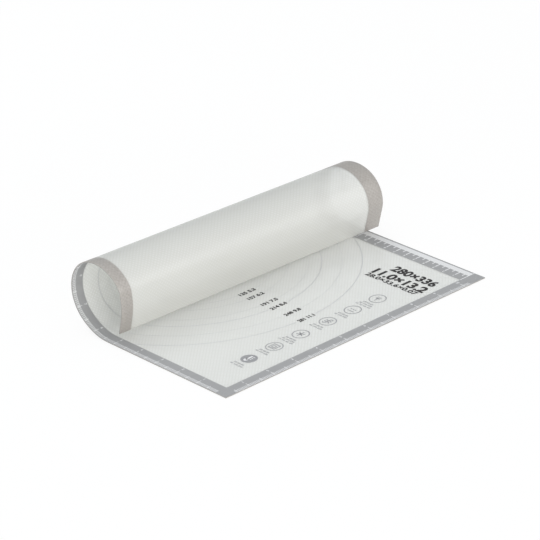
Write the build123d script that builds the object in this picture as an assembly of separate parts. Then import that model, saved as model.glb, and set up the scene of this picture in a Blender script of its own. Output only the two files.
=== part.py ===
from build123d import *
from math import cos, radians, sin
import os

# Silicone baking mat: one laminated sheet, flat in front and curled over behind
# X runs along the front edge, Y towards the back and Z up, from the middle of the
# resting face. The curl is a tapered tube, so its left and right edges each have
# their own arcs, and straight rulings join the points where both edges head alike.

# Sheet
sheet_width = 280.0
sheet_length = 336.0
resting_face_depth = 150.0

# Layers, from the underside up
underside_thickness = 0.25
mesh_thickness = 0.2
top_thickness = 0.25
print_thickness = 0.05
bond_line = 0.01
seal_width = 2.0

# Printed border, on three edges
front_band = 12.5
left_band = 11.4
right_band = 16.3

# Curl, from the flat to the free edge
left_radii = (50.7, 30.1, 14.5, 67.1)
left_turn_shares = (0.134, 0.672, 0.115, 0.079)
right_radii = (23.1, 34.1, 24.2, 29.2)
right_turn_shares = (0.277, 0.41, 0.224, 0.089)
curl_turn = radians(294)
left_edge_lift = 3.0
right_edge_lift = 0.3
sideways_walk = 11.2
walk_exponent = 1.74

# Sections through the curl
curl_sections = 72
overrun = 1.0

mesh_base = underside_thickness + bond_line
top_base = mesh_base + mesh_thickness + bond_line
print_base = top_base + top_thickness + bond_line
print_surface = print_base + print_thickness


def arc_length(radii, shares):
    """Length of one edge's arcs, measured on the underside."""
    return sum(radius * share * curl_turn for radius, share in zip(radii, shares))


def arc_point(radii, shares, heading):
    """How far back and up an edge has come when it heads up at this angle."""
    back, up, passed = 0, 0, 0
    for radius, share in zip(radii, shares):
        reached = min(passed + share * curl_turn, heading)
        back += radius * (sin(reached) - sin(passed))
        up += radius * (cos(passed) - cos(reached))
        passed = reached
    return back, up


def tail_length(radii, shares, lift):
    """Straight stretch that brings the free edge down to its lift above the sheet."""
    back, up = arc_point(radii, shares, curl_turn)
    return (up - print_surface - lift) / -sin(curl_turn)


left_tail = tail_length(left_radii, left_turn_shares, left_edge_lift)
right_tail = tail_length(right_radii, right_turn_shares, right_edge_lift)
left_arcs = arc_length(left_radii, left_turn_shares)
right_arcs = arc_length(right_radii, right_turn_shares)
left_flat = sheet_length - left_arcs - left_tail
right_flat = sheet_length - right_arcs - right_tail


def edge_point(radii, shares, flat, arcs, tail, heading, along_tail):
    """Y and Z of one edge's underside, and how much of its curl lies behind it."""
    back, up = arc_point(radii, shares, heading)
    travelled, passed = 0, 0
    for radius, share in zip(radii, shares):
        reached = min(passed + share * curl_turn, heading)
        travelled += radius * (reached - passed)
        passed = reached
    y = flat - resting_face_depth / 2 + back + along_tail * cos(heading)
    z = up + along_tail * sin(heading)
    return y, z, (travelled + along_tail) / (arcs + tail)


def section(left, right, heading, across, offsets):
    """Thin face through the sheet on one ruling, between two distances from its left edge."""
    corners = []
    for distance, offset in (
        (across[0], offsets[0]),
        (across[1], offsets[0]),
        (across[1], offsets[1]),
        (across[0], offsets[1]),
    ):
        share = distance / sheet_width
        ruling = [a + (b - a) * share for a, b in zip(left, right)]
        corners.append(
            (ruling[0], ruling[1] - sin(heading) * offset, ruling[2] + cos(heading) * offset)
        )
    return Face(Wire.make_polygon([Vector(*corner) for corner in corners], close=True))


def curl_section(heading, left_after, right_after, across, offsets):
    """Section at a heading, or down the straight tail."""
    left_y, left_z, left_share = edge_point(
        left_radii, left_turn_shares, left_flat, left_arcs, left_tail, heading, left_after
    )
    right_y, right_z, right_share = edge_point(
        right_radii, right_turn_shares, right_flat, right_arcs, right_tail, heading, right_after
    )
    left_x = -sheet_width / 2 + sideways_walk * left_share**walk_exponent
    right_x = sheet_width / 2 + sideways_walk * right_share**walk_exponent
    left = (left_x, left_y, left_z)
    right = (right_x, right_y, right_z)
    return section(left, right, heading, across, offsets)


def front_section(across, front, offsets):
    """Upright face through the flat stretch, this far behind the sheet's front edge."""
    low, high = (distance - sheet_width / 2 for distance in across)
    y = front - resting_face_depth / 2
    corners = ((low, offsets[0]), (high, offsets[0]), (high, offsets[1]), (low, offsets[1]))
    return Face(Wire.make_polygon([Vector(x, y, z) for x, z in corners], close=True))


def joined(faces, ruled):
    """Solid that runs through a row of sections."""
    return Solid.make_loft([face.outer_wire() for face in faces], ruled=ruled)


def front_strip(across, depth, offsets):
    """One layer along the front edge."""
    ends = [front_section(across, front, offsets) for front in (0, depth)]
    return joined(ends, True)


def tail_section(across, back, offsets):
    """Section down the straight tail, this far from the free edge."""
    return curl_section(curl_turn, left_tail - back, right_tail - back, across, offsets)


def flat_plate(across, offsets, inset):
    """The flat stretch of one layer, up to the slanted line where the curl starts."""
    corners = [(distance, inset) for distance in across]
    for distance in reversed(across):
        share = distance / sheet_width
        corners.append((distance, left_flat + (right_flat - left_flat) * share))
    points = [
        Vector(u - sheet_width / 2, v - resting_face_depth / 2, offsets[0]) for u, v in corners
    ]
    outline = Face(Wire.make_polygon(points, close=True))
    return extrude(outline, offsets[1] - offsets[0], dir=(0, 0, 1))


def flat_and_curl(across, offsets, inset=0):
    """One layer between two distances from the left edge, up to the straight tail."""
    headings = [curl_turn * k / curl_sections for k in range(curl_sections + 1)]
    faces = [curl_section(heading, 0, 0, across, offsets) for heading in headings]
    return flat_plate(across, offsets, inset) + joined(faces, True)


def tail_strip(across, offsets, inset=0, before=0):
    """One layer between two distances from the left edge, down the straight tail."""
    start = curl_section(curl_turn, -before, -before, across, offsets)
    return joined([start, tail_section(across, inset, offsets)], True)


def long_strip(across, offsets, inset=0):
    """One layer between two distances from the left edge, from front to free edge."""
    return flat_and_curl(across, offsets, inset) + tail_strip(across, offsets, inset)


def write(piece, name):
    export_step(piece, f"parts/{name}.step")
    print(name, "solids", len(piece.solids()), "volume", round(piece.volume, 1))


os.makedirs("parts", exist_ok=True)

# Lower silicone coat, which lies on the table
underside_silicone = long_strip((0, sheet_width), (0, underside_thickness))

# Woven glass core, short of every edge of the sheet
core_across = (seal_width, sheet_width - seal_width)
core_offsets = (mesh_base, mesh_base + mesh_thickness)
fibreglass_mesh = long_strip(core_across, core_offsets, seal_width)

# Bead of silicone that closes the rim round the core
bead_width = seal_width - bond_line
between_beads = (bead_width, sheet_width - bead_width)
through_core = (core_offsets[0] - overrun, core_offsets[1] + overrun)
edge_seal = flat_and_curl((0, between_beads[0]), core_offsets)
edge_seal += flat_and_curl((between_beads[1], sheet_width), core_offsets)
edge_seal += front_strip(between_beads, bead_width, core_offsets)
edge_seal += tail_strip((0, sheet_width), core_offsets) - tail_strip(
    between_beads, through_core, bead_width, overrun
)

# Upper silicone coat, the non-stick face
top_silicone = long_strip((0, sheet_width), (top_base, top_base + top_thickness))

# Grey border, printed along the front, left and right edges
print_offsets = (print_base, print_surface)
printed_border = long_strip((0, left_band), print_offsets)
printed_border += long_strip((sheet_width - right_band, sheet_width), print_offsets)
printed_border += front_strip((left_band, sheet_width - right_band), front_band, print_offsets)

write(underside_silicone, "underside_silicone")
write(fibreglass_mesh, "fibreglass_mesh")
write(edge_seal, "edge_seal")
write(top_silicone, "top_silicone")
write(printed_border, "printed_border")

print("flat stretch, left and right", round(left_flat, 2), round(right_flat, 2))
print("straight tail, left and right", round(left_tail, 2), round(right_tail, 2))
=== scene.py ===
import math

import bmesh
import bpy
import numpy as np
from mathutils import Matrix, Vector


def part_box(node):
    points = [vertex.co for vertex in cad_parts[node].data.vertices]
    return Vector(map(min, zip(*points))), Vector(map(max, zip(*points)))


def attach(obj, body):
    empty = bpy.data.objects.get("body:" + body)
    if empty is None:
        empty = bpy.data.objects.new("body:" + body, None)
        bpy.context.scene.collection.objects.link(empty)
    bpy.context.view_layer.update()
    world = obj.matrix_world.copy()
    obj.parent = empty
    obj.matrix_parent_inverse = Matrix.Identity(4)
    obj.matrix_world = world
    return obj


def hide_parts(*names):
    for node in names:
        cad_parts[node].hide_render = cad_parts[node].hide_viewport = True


bl_info = {
    "name": "Silicone baking mat",
    "version": (1, 0, 0),
    "blender": (4, 5, 0),
    "location": "View3D > Sidebar > Baking mat",
    "description": "Dresses the baking mat's frame: silicone sheet, printed border, scales and circles",
    "category": "Object",
}

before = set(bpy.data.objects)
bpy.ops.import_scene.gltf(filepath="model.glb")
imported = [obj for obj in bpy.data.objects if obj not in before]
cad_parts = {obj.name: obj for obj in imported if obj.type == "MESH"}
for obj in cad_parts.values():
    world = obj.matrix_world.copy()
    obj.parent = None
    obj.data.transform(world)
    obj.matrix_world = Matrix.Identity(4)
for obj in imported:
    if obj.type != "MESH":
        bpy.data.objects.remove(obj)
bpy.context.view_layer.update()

# Every piece is modelled flat, as the mat is printed, in metres: u from the left edge,
# v from the front edge, and height above the underside. curl_mesh then rolls it up.
SHEET_WIDTH = 0.280
SHEET_LENGTH = 0.336
RESTING_DEPTH = 0.150

# Curl, the same arcs as the frame's, from the flat stretch to the free edge
LEFT_RADII = (0.0507, 0.0301, 0.0145, 0.0671)
LEFT_TURN_SHARES = (0.134, 0.672, 0.115, 0.079)
LEFT_EDGE_LIFT = 0.0030
RIGHT_RADII = (0.0231, 0.0341, 0.0242, 0.0292)
RIGHT_TURN_SHARES = (0.277, 0.41, 0.224, 0.089)
RIGHT_EDGE_LIFT = 0.0003
CURL_TURN = math.radians(294)
SIDEWAYS_WALK = 0.0112
WALK_EXPONENT = 1.74
CURL_STEPS = 588

# Thicknesses, and the heights of the print above the sheet's underside
SHEET_THICKNESS = 0.00072
INK_GAP = 0.000005
PRINT_THICKNESS = 0.00005
PRINT_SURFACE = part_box("printed_border")[0].z + PRINT_THICKNESS
INK_THICKNESS = PRINT_SURFACE - SHEET_THICKNESS - INK_GAP
THIN_INK_THICKNESS = INK_THICKNESS / 2
INK_HEIGHT = SHEET_THICKNESS + INK_GAP
OVERPRINT_HEIGHT = PRINT_SURFACE - THIN_INK_THICKNESS / 2

FLAT_MAP = "flat_sheet"
INCH = 0.0254

# Mesh work: angles that make a rim and a sharp edge, and how finely figures are drawn
RIM_ANGLE = math.radians(60)
SHARP_ANGLE = math.radians(40)
FIGURE_STEPS = 3
MERGE_SHARE = 0.001


class Edge:
    """One long edge of the sheet: flat, then four arcs, then a straight tail to the free edge."""

    def __init__(self, side, radii, shares, lift):
        self.side = side
        self.radii = radii
        self.turns = [share * CURL_TURN for share in shares]
        self.arcs = sum(radius * turn for radius, turn in zip(radii, self.turns))
        up = self.arc_point(CURL_TURN)[1]
        self.tail = (up - PRINT_SURFACE - lift) / -math.sin(CURL_TURN)
        self.flat = SHEET_LENGTH - self.arcs - self.tail

    def arc_point(self, heading):
        """How far back and up the edge has come, and the arc's length, when it heads up at this angle."""
        back = up = travelled = passed = 0.0
        for radius, turn in zip(self.radii, self.turns):
            reached = max(passed, min(passed + turn, heading))
            back += radius * (math.sin(reached) - math.sin(passed))
            up += radius * (math.cos(passed) - math.cos(reached))
            travelled += radius * (reached - passed)
            passed += turn
        return back, up, travelled

    def point(self, heading, along_tail):
        """The edge's place on the underside, at a heading and a distance down the tail."""
        back, up, travelled = self.arc_point(heading)
        walk = SIDEWAYS_WALK * ((travelled + along_tail) / (self.arcs + self.tail)) ** WALK_EXPONENT
        return Vector((
            self.side * SHEET_WIDTH / 2 + walk,
            self.flat - RESTING_DEPTH / 2 + back + along_tail * math.cos(heading),
            up + along_tail * math.sin(heading),
        ))


class Curl:
    """Rolls the flat sheet: straight rulings join the points where both long edges head alike."""

    def __init__(self):
        self.left = Edge(-1, LEFT_RADII, LEFT_TURN_SHARES, LEFT_EDGE_LIFT)
        self.right = Edge(1, RIGHT_RADII, RIGHT_TURN_SHARES, RIGHT_EDGE_LIFT)
        self.headings = np.linspace(0, CURL_TURN, CURL_STEPS + 1)
        self.left_v = np.array([self.left.flat + self.left.arc_point(h)[2] for h in self.headings])
        self.right_v = np.array([self.right.flat + self.right.arc_point(h)[2] for h in self.headings])

    def place(self, u, v, height):
        """Where a point of the flat sheet goes."""
        share = u / SHEET_WIDTH
        reached = (1 - share) * self.left_v + share * self.right_v
        if v <= reached[0]:
            return Vector((u - SHEET_WIDTH / 2, v - RESTING_DEPTH / 2, height))
        heading = float(np.interp(v, reached, self.headings))
        down_tail = max(0.0, (v - reached[-1]) / (SHEET_LENGTH - reached[-1]))
        left = self.left.point(heading, down_tail * self.left.tail)
        right = self.right.point(heading, down_tail * self.right.tail)
        inwards = Vector((0, -math.sin(heading), math.cos(heading)))
        return left.lerp(right, share) + inwards * height


CURL = Curl()


def flat_grid(bm, low, high, columns, rows):
    """Adds a flat grid between two corners, and returns its faces."""
    width, depth = high[0] - low[0], high[1] - low[1]
    centre = Vector((low[0] + width / 2, low[1] + depth / 2, 0))
    placed = Matrix.Translation(centre) @ Matrix.Diagonal((width, depth, 1, 1))
    made = bmesh.ops.create_grid(bm, x_segments=columns, y_segments=rows, size=0.5, matrix=placed)
    return {face for vert in made["verts"] for face in vert.link_faces}


def thicken(bm, thickness):
    """Turns flat faces into a closed slab that stands on them."""
    before = set(bm.verts)
    made = bmesh.ops.extrude_face_region(bm, geom=list(bm.faces))
    corners = [item for item in made["geom"] if isinstance(item, bmesh.types.BMVert)]
    raised = [vert for vert in corners if vert not in before]
    bmesh.ops.translate(bm, verts=raised, vec=(0, 0, thickness))
    bmesh.ops.recalc_face_normals(bm, faces=bm.faces)


def round_rim(bm, radius, segments=2):
    """Rounds the outer edges of a slab."""
    rim = [edge for edge in bm.edges if edge.is_manifold and edge.calc_face_angle() > RIM_ANGLE]
    bmesh.ops.bevel(
        bm, geom=rim, offset=radius, offset_type="OFFSET", segments=segments, profile=0.5,
        affect="EDGES", material=-1, clamp_overlap=True,
    )


def curl_mesh(bm):
    """Keeps each corner's flat place in a UV map, then rolls the mesh up."""
    layer = bm.loops.layers.uv.new(FLAT_MAP)
    for face in bm.faces:
        for loop in face.loops:
            loop[layer].uv = loop.vert.co.xy
    for vert in bm.verts:
        vert.co = CURL.place(vert.co.x, vert.co.y, vert.co.z)


def finish_piece(bm, name, material, other=None):
    """Rolls a flat-modelled piece up, and makes it an object that rides on the sheet's body."""
    curl_mesh(bm)
    mesh = bpy.data.meshes.new(name)
    bm.to_mesh(mesh)
    bm.free()
    mesh.shade_smooth()
    mesh.set_sharp_from_angle(angle=SHARP_ANGLE)
    mesh.materials.append(material)
    if other:
        mesh.materials.append(other)
    piece = bpy.data.objects.new(name, mesh)
    bpy.context.scene.collection.objects.link(piece)
    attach(piece, "root")
    return piece


class Value:
    """A shader socket in an expression. Each operator adds the Math node that works it out."""

    def __init__(self, nodes, socket):
        self.nodes = nodes
        self.socket = socket

    def math(self, operation, *others):
        return self.nodes.math(operation, self, *others)

    def __add__(self, other):
        return self.math("ADD", other)

    def __sub__(self, other):
        return self.math("SUBTRACT", other)

    def __rsub__(self, other):
        return self.nodes.math("SUBTRACT", other, self)

    def __mul__(self, other):
        return self.math("MULTIPLY", other)

    def __truediv__(self, other):
        return self.math("DIVIDE", other)

    def __gt__(self, other):
        return self.math("GREATER_THAN", other)

    def __lt__(self, other):
        return self.math("LESS_THAN", other)

    __radd__ = __add__
    __rmul__ = __mul__


class Nodes:
    """A material's node tree, with one method for any node."""

    def __init__(self, name):
        self.material = bpy.data.materials.new(name)
        self.material.use_nodes = True
        self.tree = self.material.node_tree
        self.tree.nodes.clear()

    def add(self, kind, settings=None, **inputs):
        """Adds a node, its settings first, then its inputs by name, with spaces as underscores."""
        node = self.tree.nodes.new(kind)
        for key, value in (settings or {}).items():
            setattr(node, key, value)
        for key, value in inputs.items():
            self.put(node.inputs[key.replace("_", " ")], value)
        return node

    def put(self, socket, value):
        if isinstance(value, Value):
            self.tree.links.new(value.socket, socket)
        elif isinstance(value, bpy.types.NodeSocket):
            self.tree.links.new(value, socket)
        else:
            socket.default_value = value

    def math(self, operation, *terms):
        node = self.add("ShaderNodeMath", {"operation": operation})
        for socket, term in zip(node.inputs, terms):
            self.put(socket, term)
        return Value(self, node.outputs[0])

    def mix_colour(self, factor, first, second):
        node = self.add("ShaderNodeMix", {"data_type": "RGBA"})
        colours = [socket for socket in node.inputs if socket.type == "RGBA"]
        self.put(node.inputs[0], factor)
        self.put(colours[0], first)
        self.put(colours[1], second)
        return next(socket for socket in node.outputs if socket.type == "RGBA")

    def mix_shader(self, factor, first, second):
        node = self.add("ShaderNodeMixShader")
        for socket, term in zip(node.inputs, (factor, first, second)):
            self.put(socket, term)
        return node.outputs[0]

    def flat_place(self):
        """The place on the flat sheet, in metres from its left and front edges."""
        place = self.add("ShaderNodeUVMap", {"uv_map": FLAT_MAP}).outputs["UV"]
        split = self.add("ShaderNodeSeparateXYZ", Vector=place)
        return place, Value(self, split.outputs["X"]), Value(self, split.outputs["Y"])

    def noise(self, place, scale, detail=2.0):
        node = self.add("ShaderNodeTexNoise", Vector=place, Scale=scale, Detail=detail)
        return Value(self, node.outputs[0])

    def finish(self, shader):
        self.add("ShaderNodeOutputMaterial", Surface=shader)
        return self.material


# Materials: shades and wear are shares of a colour, and noise scales count patches in a metre
WHITE = (1.0, 1.0, 1.0, 1.0)
SILICONE_IOR = 1.41
MILK_SCALE = 22.0
MILK_SHADE = 0.96
THREAD_GAP_SHARE = 0.14
MOTTLE_SCALE = 480.0
MOTTLE_WEIGHTS = (0.4, 1.6, 0.5)
MOTTLE_SHADE = 0.76
RIM_SHADE = 0.85
WEAVE_RELIEF = 0.0001
WEAVE_RELIEF_STRENGTH = 0.15
GLOW_WEIGHTS = (0.5, 0.5, 0.65)
CLEAR_WEIGHTS = (0.08, 0.1, 0.94)
INK_IOR = 1.43
INK_RELIEF = 0.00003
BLOTCH_SCALE = 60.0
BLOTCH_SHADE = 0.88
BORDER_GRAIN_SCALE = 900.0
BORDER_RELIEF_STRENGTH = 0.25
WEAR_SCALE = 300.0
BLACK_WEAR = 1.8
PRINT_GRAIN_SCALE = 1200.0
PRINT_RELIEF_STRENGTH = 0.2


def rgba(colour):
    return (*colour, 1.0)


def shaded(colour, share):
    """The colour made darker, or lighter where the share is over one."""
    return tuple(channel * share for channel in colour)


def weave_pattern(u, v, pitch):
    """Plain weave, in two patterns from 0 to 1. The first is 1 in the middle of a thread and 0 in
    the gaps. The second is 1 and 0 at neighbouring crossings, as the threads go over and under."""
    turns = math.pi / pitch
    across = (u * turns).math("SINE")
    along = (v * turns).math("SINE")
    thread = across.math("ABSOLUTE").math("MAXIMUM", along.math("ABSOLUTE"))
    return thread, across * along * 0.5 + 0.5


def by_weave(crossing, gap, weights):
    """A share for the whole sheet, with more at every second crossing and in the gaps."""
    at_crossing, in_gap, everywhere = weights
    return crossing * at_crossing + gap * in_gap + everywhere


def under_border(u, v, sizes):
    """1 where the border is printed, and 0 elsewhere."""
    left = u < sizes.left_band
    right = u > SHEET_WIDTH - sizes.right_band
    front = v < sizes.front_band
    return left.math("MAXIMUM", right).math("MAXIMUM", front)


def on_rim(u, v, sizes):
    """1 on the rounding of the left, right and front edges, and 0 elsewhere."""
    sides = (u < sizes.rim_round).math("MAXIMUM", u > SHEET_WIDTH - sizes.rim_round)
    return sides.math("MAXIMUM", v < sizes.rim_round)


def silicone_material(name, colour, weave, sizes, finish):
    """Milky silicone over woven glass. The threads show as a fine grain, and the border, seen
    from its far side, as a warm and mottled grey."""
    nodes = Nodes(name)
    place, u, v = nodes.flat_place()
    thread, crossing = weave_pattern(u, v, sizes.thread_pitch)
    gap = 1 - thread
    band = under_border(u, v, sizes)
    clear_of_band = 1 - band

    milk = nodes.mix_colour(
        nodes.noise(place, MILK_SCALE), rgba(colour), rgba(shaded(colour, MILK_SHADE))
    )
    woven = nodes.mix_colour(gap * THREAD_GAP_SHARE + crossing * weave, milk, rgba(finish.glass_gap))
    weave_weight, noise_weight, bias = MOTTLE_WEIGHTS
    patches = nodes.noise(place, MOTTLE_SCALE, detail=4.0)
    mottle = crossing * weave_weight + patches * noise_weight - bias
    ink = nodes.mix_colour(
        mottle.math("MAXIMUM", 0.0),
        rgba(finish.ink_through),
        rgba(shaded(finish.ink_through, MOTTLE_SHADE)),
    )
    rim = on_rim(u, v, sizes) * band
    through = nodes.mix_colour(rim, ink, rgba(shaded(finish.ink_through, RIM_SHADE)))
    base = nodes.mix_colour(band, woven, through)

    bump = nodes.add(
        "ShaderNodeBump", Strength=WEAVE_RELIEF_STRENGTH, Distance=WEAVE_RELIEF,
        Height=thread + crossing,
    )
    satin = nodes.add(
        "ShaderNodeBsdfPrincipled", Base_Color=base, Roughness=finish.silicone_roughness,
        IOR=SILICONE_IOR, Normal=bump.outputs[0],
    )
    glow = nodes.add("ShaderNodeBsdfTranslucent", Color=rgba(finish.silicone_glow))
    clear = nodes.add("ShaderNodeBsdfTransparent", Color=rgba(finish.clear_tint))
    gloss = nodes.add(
        "ShaderNodeBsdfAnisotropic", Color=WHITE, Roughness=finish.gloss_roughness,
        Normal=bump.outputs[0],
    )
    glow_share = clear_of_band * by_weave(crossing, gap, GLOW_WEIGHTS) * finish.glow_share
    body = nodes.mix_shader(glow_share, satin.outputs[0], glow.outputs[0])
    clear_share = clear_of_band * by_weave(crossing, gap, CLEAR_WEIGHTS) * finish.clear_share
    sheet = nodes.mix_shader(clear_share, body, clear.outputs[0])
    return nodes.finish(nodes.mix_shader(finish.gloss_share, sheet, gloss.outputs[0]))


def matt_ink(nodes, place, colour, grain_scale, strength, finish):
    """Matt silicone ink with a fine grain."""
    bump = nodes.add(
        "ShaderNodeBump", Strength=strength, Distance=INK_RELIEF,
        Height=nodes.noise(place, grain_scale),
    )
    matt = nodes.add(
        "ShaderNodeBsdfPrincipled", Base_Color=colour, Roughness=finish.ink_roughness, IOR=INK_IOR,
        Normal=bump.outputs[0],
    )
    return nodes.finish(matt.outputs[0])


def border_material(sizes, finish):
    """Grey silicone ink, with the rulers' fine comb of light lines in its outer zone."""
    nodes = Nodes("grey_border_ink")
    place, u, v = nodes.flat_place()
    from_right = SHEET_WIDTH - u
    on_front = v < sizes.front_band
    on_left = (u < sizes.left_band) * (1 - on_front)
    on_right = (from_right < sizes.right_band) * (1 - on_front)

    def zone(from_rim, depth_share, band, rim_line=sizes.rim_line):
        """1 where the comb is printed: inside the plain rim line, down to a share of the band."""
        return (from_rim > rim_line) * (from_rim < depth_share * band)

    def comb(along, pitch):
        """1 on the comb's light lines, and 0 between them."""
        return (along / pitch).math("FRACT") < finish.comb_share

    between_sides = (u > sizes.left_band) * (from_right > sizes.right_band)
    front_zone = on_front * zone(v, sizes.comb_depth_share, sizes.front_band) * between_sides
    left_zone = on_left * zone(u, sizes.comb_depth_share, sizes.left_band)
    right_zone = on_right * zone(
        from_right, sizes.right_comb_depth_share, sizes.right_band, sizes.right_rim_line
    )
    lines = front_zone * comb(u, sizes.inch_tick) + left_zone * comb(v, sizes.inch_tick)
    ground = finish.right_comb_light
    right_light = right_zone * (comb(v, sizes.right_tick) * (1 - ground) + ground)
    ink = nodes.mix_colour(
        nodes.noise(place, BLOTCH_SCALE, detail=4.0),
        rgba(finish.ink),
        rgba(shaded(finish.ink, BLOTCH_SHADE)),
    )
    light = lines * finish.inch_comb_light + right_light
    colour = nodes.mix_colour(light, ink, rgba(finish.light_ink))
    return matt_ink(nodes, place, colour, BORDER_GRAIN_SCALE, BORDER_RELIEF_STRENGTH, finish)


def print_material(name, colour, wear, finish):
    """Silicone ink of one printed colour, a little uneven and grainy."""
    nodes = Nodes(name)
    place, _, _ = nodes.flat_place()
    tone = nodes.mix_colour(
        nodes.noise(place, WEAR_SCALE, detail=3.0), rgba(colour), rgba(shaded(colour, wear))
    )
    return matt_ink(nodes, place, tone, PRINT_GRAIN_SCALE, PRINT_RELIEF_STRENGTH, finish)


def bar(bm, centre, length, width, turn=0.0):
    """A straight printed stroke, along u before its turn."""
    faces = flat_grid(bm, (-length / 2, -width / 2), (length / 2, width / 2), 1, 1)
    verts = list({vert for face in faces for vert in face.verts})
    placed = Matrix.Translation((*centre, 0)) @ Matrix.Rotation(turn, 4, "Z")
    bmesh.ops.transform(bm, matrix=placed, verts=verts)


def arc_line(bm, centre, radius, width, steps, start=0.0, sweep=math.tau):
    """A printed circle line, or the part of one that starts at an angle and sweeps on."""
    inner = bm.verts.new((centre[0] + radius - width / 2, centre[1], 0))
    outer = bm.verts.new((centre[0] + radius + width / 2, centre[1], 0))
    edge = bm.edges.new((inner, outer))
    about = (*centre, 0)
    bmesh.ops.rotate(bm, verts=(inner, outer), cent=about, matrix=Matrix.Rotation(start, 3, "Z"))
    whole = math.isclose(sweep, math.tau)
    bmesh.ops.spin(
        bm, geom=[inner, outer, edge], cent=about, axis=(0, 0, 1), dvec=(0, 0, 0), angle=sweep,
        steps=steps, use_merge=whole, use_duplicate=False,
    )


def disc(bm, centre, radius, segments=40):
    """A filled printed spot."""
    bmesh.ops.create_circle(
        bm, cap_ends=True, segments=segments, radius=radius, matrix=Matrix.Translation((*centre, 0))
    )


def numbers(bm, words, size, centre, turn=0.0, weight=0.0, fit=None):
    """Plain printed numbers, centred on a place, with strokes made heavier by weight, and
    stretched to a length and a height where fit gives them."""
    curve = bpy.data.curves.new("numbers", "FONT")
    curve.body = words
    curve.size = size
    curve.align_x = "CENTER"
    curve.align_y = "CENTER"
    curve.offset = weight
    curve.resolution_u = FIGURE_STEPS
    text = bpy.data.objects.new("numbers", curve)
    bpy.context.scene.collection.objects.link(text)
    mesh = bpy.data.meshes.new_from_object(text)
    before = set(bm.verts)
    bm.from_mesh(mesh)
    verts = [vert for vert in bm.verts if vert not in before]
    placed = Matrix.Translation((*centre, 0)) @ Matrix.Rotation(turn, 4, "Z")
    if fit:
        spans = [[vert.co[axis] for vert in verts] for axis in (0, 1)]
        middle = [(max(span) + min(span)) / 2 for span in spans]
        stretch = [wanted / (max(span) - min(span)) for wanted, span in zip(fit, spans)]
        to_middle = Matrix.Translation((-middle[0], -middle[1], 0))
        placed = placed @ Matrix.Diagonal((*stretch, 1, 1)) @ to_middle
    bmesh.ops.transform(bm, matrix=placed, verts=verts)
    bmesh.ops.remove_doubles(bm, verts=verts, dist=size * MERGE_SHARE)
    bpy.data.objects.remove(text)
    bpy.data.curves.remove(curve)
    bpy.data.meshes.remove(mesh)


def finish_print(bm, name, material, height, thickness):
    """Lifts flat printed shapes to their height, thickens them and rolls them up with the sheet."""
    bmesh.ops.translate(bm, verts=bm.verts, vec=(0, 0, height))
    thicken(bm, thickness)
    return finish_piece(bm, name, material)


def trim_beyond(bm, point, normal):
    """Cuts printed lines off on the far side of a straight line."""
    bmesh.ops.bisect_plane(
        bm, geom=[*bm.verts, *bm.edges, *bm.faces], plane_co=(*point, 0), plane_no=(*normal, 0),
        clear_outer=True,
    )


class BAKINGMAT_PG_sizes(bpy.types.PropertyGroup):
    """Sizes of the printed work and the weave"""

    front_band: bpy.props.FloatProperty(
        name="Front band", description="Width of the border along the front edge", default=0.0125,
        unit="LENGTH")
    left_band: bpy.props.FloatProperty(
        name="Left band", description="Width of the border along the left edge", default=0.0114,
        unit="LENGTH")
    right_band: bpy.props.FloatProperty(
        name="Right band", description="Width of the border along the right edge", default=0.0163,
        unit="LENGTH")
    rim_line: bpy.props.FloatProperty(
        name="Rim line", description="Plain ink outside the rulers' comb", default=0.0007,
        unit="LENGTH")
    right_rim_line: bpy.props.FloatProperty(
        name="Right rim line", description="Plain ink outside the right comb", default=0.0016,
        unit="LENGTH")
    comb_depth_share: bpy.props.FloatProperty(
        name="Comb depth", description="Share of the front and left bands that the comb reaches",
        default=0.32, subtype="FACTOR")
    right_comb_depth_share: bpy.props.FloatProperty(
        name="Right comb depth", description="Share of the right band that the comb reaches",
        default=0.42, subtype="FACTOR")
    inch: bpy.props.FloatProperty(
        name="Front ruler pitch", description="Between long marks, front and left", default=0.0258,
        unit="LENGTH")
    inch_tick: bpy.props.FloatProperty(
        name="Front comb pitch", description="Between the comb's lines, front and left",
        default=0.0016125, unit="LENGTH")
    right_pitch: bpy.props.FloatProperty(
        name="Right ruler pitch", description="Between long marks on the right", default=0.0118,
        unit="LENGTH")
    right_tick: bpy.props.FloatProperty(
        name="Right comb pitch", description="Between the comb's lines on the right",
        default=0.00118, unit="LENGTH")
    thread_pitch: bpy.props.FloatProperty(
        name="Thread pitch", description="Between neighbouring glass threads", default=0.00172,
        unit="LENGTH")
    circle_line: bpy.props.FloatProperty(
        name="Circle line", description="Width of the main measuring circles' lines",
        default=0.00055, unit="LENGTH")
    thin_circle_line: bpy.props.FloatProperty(
        name="Thin circle line", description="Width of the other measuring circles' lines",
        default=0.0002, unit="LENGTH")
    sign_radius: bpy.props.FloatProperty(
        name="Care sign", description="Radius of the round care signs", default=0.007,
        unit="LENGTH")
    rim_round: bpy.props.FloatProperty(
        name="Rim rounding", description="Radius of the silicone bead's outer edge",
        default=0.00022, unit="LENGTH")


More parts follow.
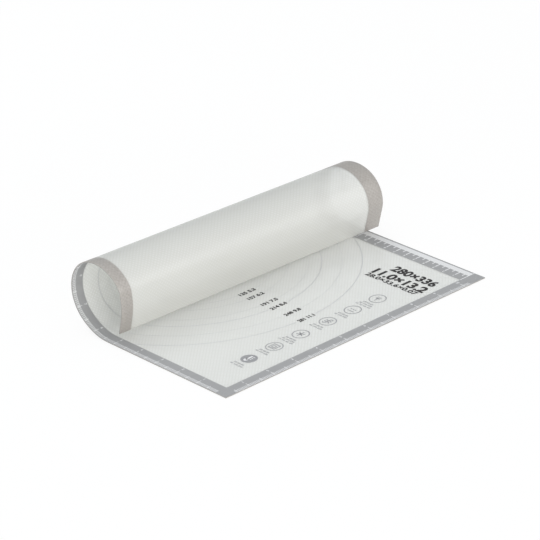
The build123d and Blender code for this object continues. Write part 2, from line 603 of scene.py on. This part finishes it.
class BAKINGMAT_PG_finish(bpy.types.PropertyGroup):
    """Colours and finishes"""

    silicone: bpy.props.FloatVectorProperty(
        name="Upper silicone", description="Milky silicone over the threads",
        default=(0.935, 0.94, 0.925), subtype="COLOR")
    # Darker than the upper silicone mostly as painted shade: the underside is the outside of the curl,
    # and this colour darkens it
    underside: bpy.props.FloatVectorProperty(
        name="Underside silicone", description="Milky silicone under the threads",
        default=(0.720, 0.719, 0.706), subtype="COLOR")
    glass_gap: bpy.props.FloatVectorProperty(
        name="Mesh gap", description="Silicone between the threads", default=(0.50, 0.49, 0.455),
        subtype="COLOR")
    silicone_glow: bpy.props.FloatVectorProperty(
        name="Glow", description="Light that soaks through the sheet", default=(0.95, 0.90, 0.74),
        subtype="COLOR")
    clear_tint: bpy.props.FloatVectorProperty(
        name="Clear tint", description="What is seen straight through", default=(0.970, 0.988, 0.998),
        subtype="COLOR")
    ink_through: bpy.props.FloatVectorProperty(
        name="Border from below", description="Border ink seen through the sheet",
        default=(0.375, 0.35, 0.325), subtype="COLOR")
    ink: bpy.props.FloatVectorProperty(
        name="Border ink", description="Grey of the printed border", default=(0.36, 0.36, 0.365),
        subtype="COLOR")
    light_ink: bpy.props.FloatVectorProperty(
        name="Light print", description="Rulers' marks and numbers", default=(0.78, 0.78, 0.785),
        subtype="COLOR")
    line_ink: bpy.props.FloatVectorProperty(
        name="Line ink", description="Measuring circles", default=(0.46, 0.46, 0.47),
        subtype="COLOR")
    sign_ink: bpy.props.FloatVectorProperty(
        name="Sign ink", description="Care signs", default=(0.28, 0.28, 0.29),
        subtype="COLOR")
    dark_ink: bpy.props.FloatVectorProperty(
        name="Black print", description="Bold numbers", default=(0.012, 0.010, 0.010),
        subtype="COLOR")
    weave_contrast: bpy.props.FloatProperty(
        name="Weave contrast", description="How much the mesh shows from above", default=0.17,
        subtype="FACTOR")
    underside_weave: bpy.props.FloatProperty(
        name="Underside weave", description="How much the mesh shows from below", default=0.28,
        subtype="FACTOR")
    glow_share: bpy.props.FloatProperty(
        name="Glow share", description="Share of light that soaks through", default=0.14,
        subtype="FACTOR")
    clear_share: bpy.props.FloatProperty(
        name="Clear share", description="Share seen straight through each face", default=0.33,
        subtype="FACTOR")
    silicone_roughness: bpy.props.FloatProperty(
        name="Silicone roughness", description="Satin finish of the sheet", default=0.42,
        subtype="FACTOR")
    gloss_share: bpy.props.FloatProperty(
        name="Gloss", description="Share of light that the smooth face mirrors", default=0.045,
        subtype="FACTOR")
    gloss_roughness: bpy.props.FloatProperty(
        name="Gloss roughness", description="Blur of what the smooth face mirrors", default=0.24,
        subtype="FACTOR")
    ink_roughness: bpy.props.FloatProperty(
        name="Ink roughness", description="Matt finish of the print", default=0.6,
        subtype="FACTOR")
    comb_share: bpy.props.FloatProperty(
        name="Comb line", description="Share of the pitch that a comb's light line takes",
        default=0.6, subtype="FACTOR")
    inch_comb_light: bpy.props.FloatProperty(
        name="Front comb strength", description="How light the front and left combs are",
        default=0.62, subtype="FACTOR")
    right_comb_light: bpy.props.FloatProperty(
        name="Right comb ground", description="How light the right comb is between its lines",
        default=0.68, subtype="FACTOR")


class BAKINGMAT_OT_stage(bpy.types.Operator):
    """Set the camera, the pale floor and the soft studio light"""

    bl_idname = "baking_mat.make_stage"
    bl_label = "Stage"

    # Camera, fitted to the photograph's edges and marks
    turn = math.radians(-39.226)
    tilt = math.radians(25.235)
    roll = math.radians(-4.517)
    look_at = Vector((0.03495, 0.07335, 0.0))
    distance = 2.7606
    lens = 221.13
    sensor = 36.0
    nearest = 0.05
    farthest = 50.0

    floor_drop = 0.0003
    floor_side = 12.0
    white_share = 0.9
    paint = (0.93, 0.93, 0.93, 1.0)
    room_colour = (0.965, 0.985, 1.0, 1.0)
    room_strength = 0.72

    # Lamps: name, place, aim, width and height, watts, colour
    lamps = (
        ("back_light", (-0.1, 1.15, 1.6), (0, 0.03, 0), (1.0, 1.0), 8.1, (0.93, 0.975, 1.0)),
        ("overhead", (-0.25, 0.1, 1.7), (0, 0.03, 0), (1.4, 1.4), 3.4, (0.93, 0.975, 1.0)),
        ("front_window", (-0.5, -2.0, 0.12), (0, 0.05, 0.02), (1.6, 0.8), 34.0, (1.0, 0.99, 0.975)),
        ("soft_box", (1.14, -1.5, 0.66), (1.14, 0.1, 0.03), (1.6, 1.4), 4.7, (1.0, 0.985, 0.96)),
        ("side_fill", (-2.0, -0.35, 0.1), (-0.14, 0.08, 0.03), (0.8, 0.5), 17.0, (1.0, 0.985, 0.935)),
    )

    def execute(self, context):
        self.camera(context.scene)
        self.floor(context.scene)
        self.world(context.scene)
        for lamp in self.lamps:
            self.lamp(context.scene, *lamp)
        context.scene.view_settings.view_transform = "Standard"
        return {"FINISHED"}

    def camera(self, scene):
        """The photograph's view, with the lens and roll that its edges and marks gave."""
        back = Vector((
            math.sin(self.turn) * math.cos(self.tilt),
            -math.cos(self.turn) * math.cos(self.tilt),
            math.sin(self.tilt),
        ))
        across = Vector((math.cos(self.turn), math.sin(self.turn), 0))
        up = back.cross(across)
        rolled = Matrix.Rotation(self.roll, 3, back)
        axes = Matrix((rolled @ across, rolled @ up, back)).transposed()
        data = bpy.data.cameras.new("camera")
        data.lens = self.lens
        data.sensor_width = self.sensor
        data.clip_start = self.nearest
        data.clip_end = self.farthest
        camera = bpy.data.objects.new("camera", data)
        camera.matrix_world = Matrix.Translation(self.look_at + back * self.distance) @ axes.to_4x4()
        scene.collection.objects.link(camera)
        scene.camera = camera

    def floor(self, scene):
        """A white table that keeps a faint shadow and looks white itself and through the sheet."""
        nodes = Nodes("white_table")
        seen = nodes.add("ShaderNodeLightPath").outputs
        direct = Value(nodes, seen["Is Camera Ray"]).math("MAXIMUM", seen["Is Glossy Ray"])
        direct = direct.math("MAXIMUM", seen["Is Transmission Ray"])
        paint = nodes.add("ShaderNodeBsdfDiffuse", Color=self.paint)
        white = nodes.add("ShaderNodeEmission", Color=WHITE, Strength=1.0)
        shader = nodes.mix_shader(direct * self.white_share, paint.outputs[0], white.outputs[0])
        material = nodes.finish(shader)
        bm = bmesh.new()
        bmesh.ops.create_grid(bm, x_segments=1, y_segments=1, size=self.floor_side / 2)
        bmesh.ops.translate(bm, verts=bm.verts, vec=(0, 0, -self.floor_drop))
        mesh = bpy.data.meshes.new("table_top")
        bm.to_mesh(mesh)
        bm.free()
        mesh.materials.append(material)
        table = bpy.data.objects.new("table_top", mesh)
        scene.collection.objects.link(table)

    def world(self, scene):
        """A pale room that lights the mat, with a white backdrop where the camera sees it."""
        world = bpy.data.worlds.new("studio")
        world.use_nodes = True
        tree = world.node_tree
        tree.nodes.clear()
        light_path = tree.nodes.new("ShaderNodeLightPath")
        room = tree.nodes.new("ShaderNodeBackground")
        room.inputs["Color"].default_value = self.room_colour
        room.inputs["Strength"].default_value = self.room_strength
        backdrop = tree.nodes.new("ShaderNodeBackground")
        backdrop.inputs["Color"].default_value = WHITE
        backdrop.inputs["Strength"].default_value = 1.0
        mix = tree.nodes.new("ShaderNodeMixShader")
        output = tree.nodes.new("ShaderNodeOutputWorld")
        tree.links.new(light_path.outputs["Is Camera Ray"], mix.inputs[0])
        tree.links.new(room.outputs[0], mix.inputs[1])
        tree.links.new(backdrop.outputs[0], mix.inputs[2])
        tree.links.new(mix.outputs[0], output.inputs[0])
        scene.world = world

    def lamp(self, scene, name, place, aim, size, power, colour):
        """A rectangular lamp that faces its aim."""
        data = bpy.data.lights.new(name, "AREA")
        data.shape = "RECTANGLE"
        data.size, data.size_y = size
        data.energy = power
        data.color = colour
        lamp = bpy.data.objects.new(name, data)
        lamp.location = place
        lamp.rotation_mode = "QUATERNION"
        lamp.rotation_quaternion = (Vector(aim) - Vector(place)).to_track_quat("-Z", "Y")
        scene.collection.objects.link(lamp)


class BAKINGMAT_OT_sheet(bpy.types.Operator):
    """Make the laminated silicone sheet, flat in front and curled over behind"""

    bl_idname = "baking_mat.make_sheet"
    bl_label = "Silicone sheet"

    columns = 56
    rows = 168

    # How far up a face has to point to get the upper coat
    upward = 0.5

    def execute(self, context):
        sizes, finish = context.scene.baking_mat_sizes, context.scene.baking_mat_finish
        bm = bmesh.new()
        flat_grid(bm, (0, 0), (SHEET_WIDTH, SHEET_LENGTH), self.columns, self.rows)
        thicken(bm, SHEET_THICKNESS)
        round_rim(bm, sizes.rim_round)
        upper = silicone_material(
            "milky_upper_coat", finish.silicone, finish.weave_contrast, sizes, finish
        )
        # The underside coat is a darker copy of the upper coat, and its darker colour is painted shade on
        # the curl's rolled-over outside
        under = silicone_material(
            "underside_coat_painted_shade", finish.underside, finish.underside_weave, sizes, finish
        )
        # Faces that point up in the flat get the upper coat, and all others get the underside coat with
        # its painted shade
        for face in bm.faces:
            face.normal_update()
            face.material_index = 0 if face.normal.z > self.upward else 1
        sheet = finish_piece(bm, "silicone_sheet", upper, under)
        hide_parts("underside_silicone", "fibreglass_mesh", "edge_seal", "top_silicone")
        return {"FINISHED"}


class BAKINGMAT_OT_border(bpy.types.Operator):
    """Print the grey border on the front, left and right edges"""

    bl_idname = "baking_mat.make_border"
    bl_label = "Printed border"

    columns = 8
    rows = 168

    def execute(self, context):
        sizes, finish = context.scene.baking_mat_sizes, context.scene.baking_mat_finish
        inner_right = SHEET_WIDTH - sizes.right_band
        bm = bmesh.new()
        flat_grid(bm, (0, 0), (SHEET_WIDTH, SHEET_LENGTH), self.columns, self.rows)
        for point, normal in (
            ((sizes.left_band, 0), (1, 0)),
            ((inner_right, 0), (1, 0)),
            ((0, sizes.front_band), (0, 1)),
        ):
            bmesh.ops.bisect_plane(
                bm, geom=[*bm.verts, *bm.edges, *bm.faces], plane_co=(*point, 0), plane_no=(*normal, 0)
            )
        middle = []
        for face in bm.faces:
            centre = face.calc_center_median()
            if sizes.left_band < centre.x < inner_right and centre.y > sizes.front_band:
                middle.append(face)
        bmesh.ops.delete(bm, geom=middle, context="FACES")
        material = border_material(sizes, finish)
        border = finish_print(bm, "border_ink", material, INK_HEIGHT, INK_THICKNESS)
        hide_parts("printed_border")
        return {"FINISHED"}


class BAKINGMAT_OT_rulers(bpy.types.Operator):
    """Print the rulers' long marks, half marks and plain numbers on the border"""

    bl_idname = "baking_mat.make_rulers"
    bl_label = "Rulers"

    mark_width = 0.00055
    wear = 0.9
    number_size = 0.0034
    number_weight = 0.00008
    number_place_share = 0.79
    long_reach_share = 0.52
    half_reach_share = 0.42
    left_first_mark = 0.0108
    thin_line_width = 0.0003
    line_step = 0.002
    right_start = 0.0111
    right_long_reach_share = 0.74
    right_short_reach_share = 0.60
    right_number_place_share = 0.86
    corner_gap = 0.0004

    def execute(self, context):
        sizes, finish = context.scene.baking_mat_sizes, context.scene.baking_mat_finish
        light = print_material("light_ruler_ink", finish.light_ink, self.wear, finish)
        for name, add_marks in (
            ("front_ruler", self.front_ruler),
            ("left_ruler", self.left_ruler),
            ("right_ruler", self.right_ruler),
        ):
            bm = bmesh.new()
            add_marks(bm, sizes)
            finish_print(bm, name, light, OVERPRINT_HEIGHT, THIN_INK_THICKNESS)
        return {"FINISHED"}

    def reach_share(self, half):
        """Share of the band that a mark reaches on the front and left rulers."""
        return self.half_reach_share if half % 2 else self.long_reach_share

    def marks_along(self, first, pitch):
        """Counts the half marks along a side of the sheet, with the place of each."""
        half = 0
        while first + half * pitch / 2 < SHEET_LENGTH - pitch / 4:
            yield half, first + half * pitch / 2
            half += 1

    def front_ruler(self, bm, sizes):
        start = sizes.rim_line
        inner_right = SHEET_WIDTH - sizes.right_band
        for half in range(1, int(2 * inner_right / sizes.inch) + 1):
            u = half * sizes.inch / 2
            end = self.reach_share(half) * sizes.front_band
            bar(bm, (u, (start + end) / 2), end - start, self.mark_width, math.pi / 2)
            if half % 2 == 0:
                at = (u, self.number_place_share * sizes.front_band)
                numbers(bm, str(half // 2), self.number_size, at, weight=self.number_weight)
        length = SHEET_WIDTH - sizes.left_band - sizes.right_band
        bar(bm, (SHEET_WIDTH / 2, sizes.rim_line), length, self.mark_width / 2)

    def left_ruler(self, bm, sizes):
        start = sizes.rim_line
        for half, v in self.marks_along(self.left_first_mark, sizes.inch):
            end = self.reach_share(half) * sizes.left_band
            if v > sizes.front_band:
                bar(bm, ((start + end) / 2, v), end - start, self.mark_width)
                if half % 2 == 0:
                    at = (self.number_place_share * sizes.left_band, v)
                    numbers(bm, str(half // 2), self.number_size, at, -math.pi / 2, self.number_weight)
        inner = sizes.comb_depth_share * sizes.left_band
        self.thin_line(bm, inner, sizes.front_band, SHEET_LENGTH - 2 * sizes.rim_round)

    def thin_line(self, bm, u, start, end):
        """A fine line along the sheet, in short steps that can follow the curl."""
        half = self.thin_line_width / 2
        flat_grid(bm, (u - half, start), (u + half, end), 1, int((end - start) / self.line_step))

    def right_ruler(self, bm, sizes):
        start = SHEET_WIDTH - sizes.right_comb_depth_share * sizes.right_band
        first = self.right_start + sizes.right_pitch / 2
        for half, v in self.marks_along(first, sizes.right_pitch):
            reach = self.right_long_reach_share if half % 2 else self.right_short_reach_share
            end = SHEET_WIDTH - reach * sizes.right_band
            bar(bm, ((start + end) / 2, v), start - end, self.mark_width * 2)
            if half % 2:
                at = (SHEET_WIDTH - self.right_number_place_share * sizes.right_band, v)
                words = str((half + 1) // 2)
                numbers(bm, words, self.number_size, at, math.pi / 2, self.number_weight)
        inner = sizes.right_band + self.corner_gap / 2
        bar(bm, (SHEET_WIDTH - inner / 2, sizes.front_band), inner, self.corner_gap * 2)


class BAKINGMAT_OT_circles(bpy.types.Operator):
    """Print the measuring circles and their plain numbers"""

    bl_idname = "baking_mat.make_circles"
    bl_label = "Measuring circles"

    centre = (0.1336, 0.1973)
    radii = (0.0677, 0.0785, 0.0956, 0.1068, 0.1240, 0.1407)
    main_radii = (0.1068, 0.1407)
    line_wear = 1.15
    number_gap = 0.021
    number_size = 0.0058
    number_fit = (0.0168, 0.0046)
    number_weight = 0.00025
    arc_step = math.radians(1.5)
    rear_gap = 0.001

    def execute(self, context):
        sizes, finish = context.scene.baking_mat_sizes, context.scene.baking_mat_finish
        circles = bmesh.new()
        labels = bmesh.new()
        for radius in self.radii:
            gap = self.number_gap / radius
            sweep = math.tau - gap
            steps = int(sweep / self.arc_step)
            start = -math.pi / 2 + gap / 2
            line = sizes.circle_line if radius in self.main_radii else sizes.thin_circle_line
            arc_line(circles, self.centre, radius, line, steps, start, sweep)
            self.label(labels, radius)
        trim_beyond(circles, (sizes.left_band, 0), (-1, 0))
        trim_beyond(circles, (SHEET_WIDTH - sizes.right_band, 0), (1, 0))
        trim_beyond(circles, (0, SHEET_LENGTH - self.rear_gap), (0, 1))
        line_ink = print_material("circle_ink", finish.line_ink, self.line_wear, finish)
        dark_ink = print_material("black_number_ink", finish.dark_ink, BLACK_WEAR, finish)
        finish_print(circles, "measuring_circles", line_ink, INK_HEIGHT, THIN_INK_THICKNESS)
        finish_print(labels, "circle_numbers", dark_ink, INK_HEIGHT, INK_THICKNESS)
        return {"FINISHED"}

    def label(self, bm, radius):
        """The circle's diameter in millimetres and inches, in the gap at its front."""
        across = 2 * radius
        words = f"{across * 1000:.0f} {across / INCH:.1f}"
        at = (self.centre[0], self.centre[1] - radius)
        numbers(bm, words, self.number_size, at, weight=self.number_weight, fit=self.number_fit)


class BAKINGMAT_OT_care_signs(bpy.types.Operator):
    """Print the row of round care signs and the small numbers beside them"""

    bl_idname = "baking_mat.make_care_signs"
    bl_label = "Care signs"

    places = (
        (0.0556, 0.0368), (0.0829, 0.0377), (0.1114, 0.0382),
        (0.1410, 0.0387), (0.1683, 0.0388), (0.1954, 0.0384),
    )
    ring_line = 0.00085
    ring_steps = 40
    ring_wear = 1.2
    stroke = 0.0009
    thin_stroke = 0.00072
    symbol_wear = 0.95

    # Tiny lines of numbers beside each sign
    row_counts = (2, 2, 3, 2, 2, 3)
    row_words = ("230 450 500", "40 104 220", "15 30 45 60")
    row_lengths = (0.0115, 0.0145, 0.0170)
    row_height = 0.0017
    row_step = 0.0029
    row_size = 0.0024
    row_weight = 0.00005
    row_start_share = 1.5

    # Symbols, in shares of the sign's radius
    stem_place_shares = (0.15, 0.12)
    stem_width_share = 0.24
    bulb_place_shares = (-0.4, 0.12)
    bulb_share = 0.28
    scale_shift_shares = (-0.02, 0.26, 0.54)
    scale_drop_share = 0.26
    scale_length_share = 0.3
    oven_half_share = 0.48
    window_shift_share = 0.05
    window_share = 0.24
    frost_length_share = 1.1
    spread_shares = (-0.34, 0.0, 0.34)
    wave_share = 0.21
    tray_shift_share = 0.35
    spot_lift_share = 0.12
    spot_share = 0.11
    fork_stem_shift_share = 0.3
    fork_stem_share = 0.6
    fork_width_share = 0.55
    tine_shift_shares = (-0.24, 0.0, 0.24)
    tine_lift_share = 0.24
    tine_share = 0.42

    def execute(self, context):
        sizes, finish = context.scene.baking_mat_sizes, context.scene.baking_mat_finish
        rings = bmesh.new()
        marks = bmesh.new()
        radius = sizes.sign_radius
        symbols = (self.thermometer, self.oven, self.frost, self.waves, self.tray, self.fork)

        # The first sign is a filled spot with a light symbol, and the others are rings
        signs = zip(self.places, symbols, self.row_counts)
        for index, (place, symbol, row_count) in enumerate(signs):
            if index:
                arc_line(rings, place, radius, self.ring_line, self.ring_steps)
                symbol(rings, place, radius)
            else:
                disc(rings, place, radius)
                symbol(marks, place, radius)
            self.small_numbers(rings, place, radius, row_count)
        sign_ink = print_material("care_sign_ink", finish.sign_ink, self.ring_wear, finish)
        light = print_material("care_sign_light", finish.light_ink, self.symbol_wear, finish)
        finish_print(rings, "care_signs", sign_ink, INK_HEIGHT, INK_THICKNESS)
        finish_print(marks, "care_sign_symbol", light, OVERPRINT_HEIGHT, THIN_INK_THICKNESS)
        return {"FINISHED"}

    def thermometer(self, bm, place, radius):
        """Heat: a stem over a bulb, with three short marks."""
        u, v = place
        stem_u, stem_v = self.stem_place_shares
        bulb_u, bulb_v = self.bulb_place_shares
        bar(bm, (u + radius * stem_u, v + radius * stem_v), radius, radius * self.stem_width_share)
        disc(bm, (u + radius * bulb_u, v + radius * bulb_v), radius * self.bulb_share, segments=20)
        for shift in self.scale_shift_shares:
            at = (u + shift * radius, v - radius * self.scale_drop_share)
            bar(bm, at, self.thin_stroke, radius * self.scale_length_share)

    def oven(self, bm, place, radius):
        """Oven: a box with a round window."""
        u, v = place
        half = radius * self.oven_half_share
        for side in (-1, 1):
            bar(bm, (u + side * half, v), self.stroke, 2 * half + self.stroke)
            bar(bm, (u, v + side * half), 2 * half - self.stroke, self.stroke)
        at = (u - radius * self.window_shift_share, v)
        arc_line(bm, at, radius * self.window_share, self.stroke, steps=20)

    def frost(self, bm, place, radius):
        """Cold: three crossed strokes."""
        for turn in range(3):
            bar(bm, place, radius * self.frost_length_share, self.stroke, turn * math.pi / 3)

    def waves(self, bm, place, radius):
        """Steam: three short waves, one above the other."""
        u, v = place
        bend = radius * self.wave_share
        for shift in self.spread_shares:
            wave_u = u + shift * radius
            for side in (-1, 1):
                at = (wave_u, v + side * bend)
                start = side * math.pi / 2
                arc_line(bm, at, bend, self.stroke, steps=8, start=start, sweep=math.pi)

    def tray(self, bm, place, radius):
        """Washing: a tray with three spots over it."""
        u, v = place
        bar(bm, (u - radius * self.tray_shift_share, v), self.stroke, radius)
        for shift in self.spread_shares:
            at = (u + radius * self.spot_lift_share, v + shift * radius)
            disc(bm, at, radius * self.spot_share, segments=12)

    def fork(self, bm, place, radius):
        """Food safe: a stem with three tines."""
        u, v = place
        at = (u - radius * self.fork_stem_shift_share, v)
        bar(bm, at, radius * self.fork_stem_share, self.stroke)
        bar(bm, place, self.stroke, radius * self.fork_width_share)
        for shift in self.tine_shift_shares:
            at = (u + radius * self.tine_lift_share, v + shift * radius)
            bar(bm, at, radius * self.tine_share, self.thin_stroke)

    def small_numbers(self, bm, place, radius, row_count):
        """Tiny lines of plain numbers beside a sign."""
        u, v = place
        for row in range(row_count):
            at = (u - radius * self.row_start_share - row * self.row_step, v)
            fit = (self.row_lengths[row], self.row_height)
            numbers(bm, self.row_words[row], self.row_size, at, -math.pi / 2, self.row_weight, fit)


class BAKINGMAT_OT_size_numbers(bpy.types.Operator):
    """Print the block of black numbers in the front right corner: the mat's size"""

    bl_idname = "baking_mat.make_size_numbers"
    bl_label = "Size numbers"

    # Words, size, centre, weight, and the length and height that they fill
    rows = (
        ("280×336", 0.0140, (0.2437, 0.0455), 0.00058, (0.051, 0.0103)),
        ("11.0×13.2", 0.0140, (0.2307, 0.0492), 0.00058, (0.0615, 0.0103)),
        ("28.0×33.6×0.07", 0.0078, (0.2221, 0.0505), 0.00026, (0.060, 0.0055)),
    )

    def execute(self, context):
        finish = context.scene.baking_mat_finish
        bm = bmesh.new()
        for words, size, place, weight, fit in self.rows:
            numbers(bm, words, size, place, -math.pi / 2, weight, fit)
        ink = print_material("black_size_ink", finish.dark_ink, BLACK_WEAR, finish)
        finish_print(bm, "size_numbers", ink, INK_HEIGHT, INK_THICKNESS)
        return {"FINISHED"}


class BAKINGMAT_PT_panel(bpy.types.Panel):
    """Lists the mat's pieces"""

    bl_idname = "BAKINGMAT_PT_panel"
    bl_label = "Baking mat"
    bl_space_type = "VIEW_3D"
    bl_region_type = "UI"
    bl_category = "Baking mat"

    def draw(self, context):
        for settings in (context.scene.baking_mat_sizes, context.scene.baking_mat_finish):
            column = self.layout.column()
            for name in settings.__annotations__:
                column.prop(settings, name)
        for operator in OPERATORS:
            self.layout.operator(operator.bl_idname)


OPERATORS = (
    BAKINGMAT_OT_stage,
    BAKINGMAT_OT_sheet,
    BAKINGMAT_OT_border,
    BAKINGMAT_OT_rulers,
    BAKINGMAT_OT_circles,
    BAKINGMAT_OT_care_signs,
    BAKINGMAT_OT_size_numbers,
)
CLASSES = (BAKINGMAT_PG_sizes, BAKINGMAT_PG_finish, *OPERATORS, BAKINGMAT_PT_panel)


def register():
    for cls in CLASSES:
        bpy.utils.register_class(cls)
    bpy.types.Scene.baking_mat_sizes = bpy.props.PointerProperty(type=BAKINGMAT_PG_sizes)
    bpy.types.Scene.baking_mat_finish = bpy.props.PointerProperty(type=BAKINGMAT_PG_finish)


def unregister():
    del bpy.types.Scene.baking_mat_finish
    del bpy.types.Scene.baking_mat_sizes
    for cls in reversed(CLASSES):
        bpy.utils.unregister_class(cls)


def main():
    register()
    bpy.ops.baking_mat.make_stage()
    bpy.ops.baking_mat.make_sheet()
    bpy.ops.baking_mat.make_border()
    bpy.ops.baking_mat.make_rulers()
    bpy.ops.baking_mat.make_circles()
    bpy.ops.baking_mat.make_care_signs()
    bpy.ops.baking_mat.make_size_numbers()


if __name__ == "__main__":
    main()
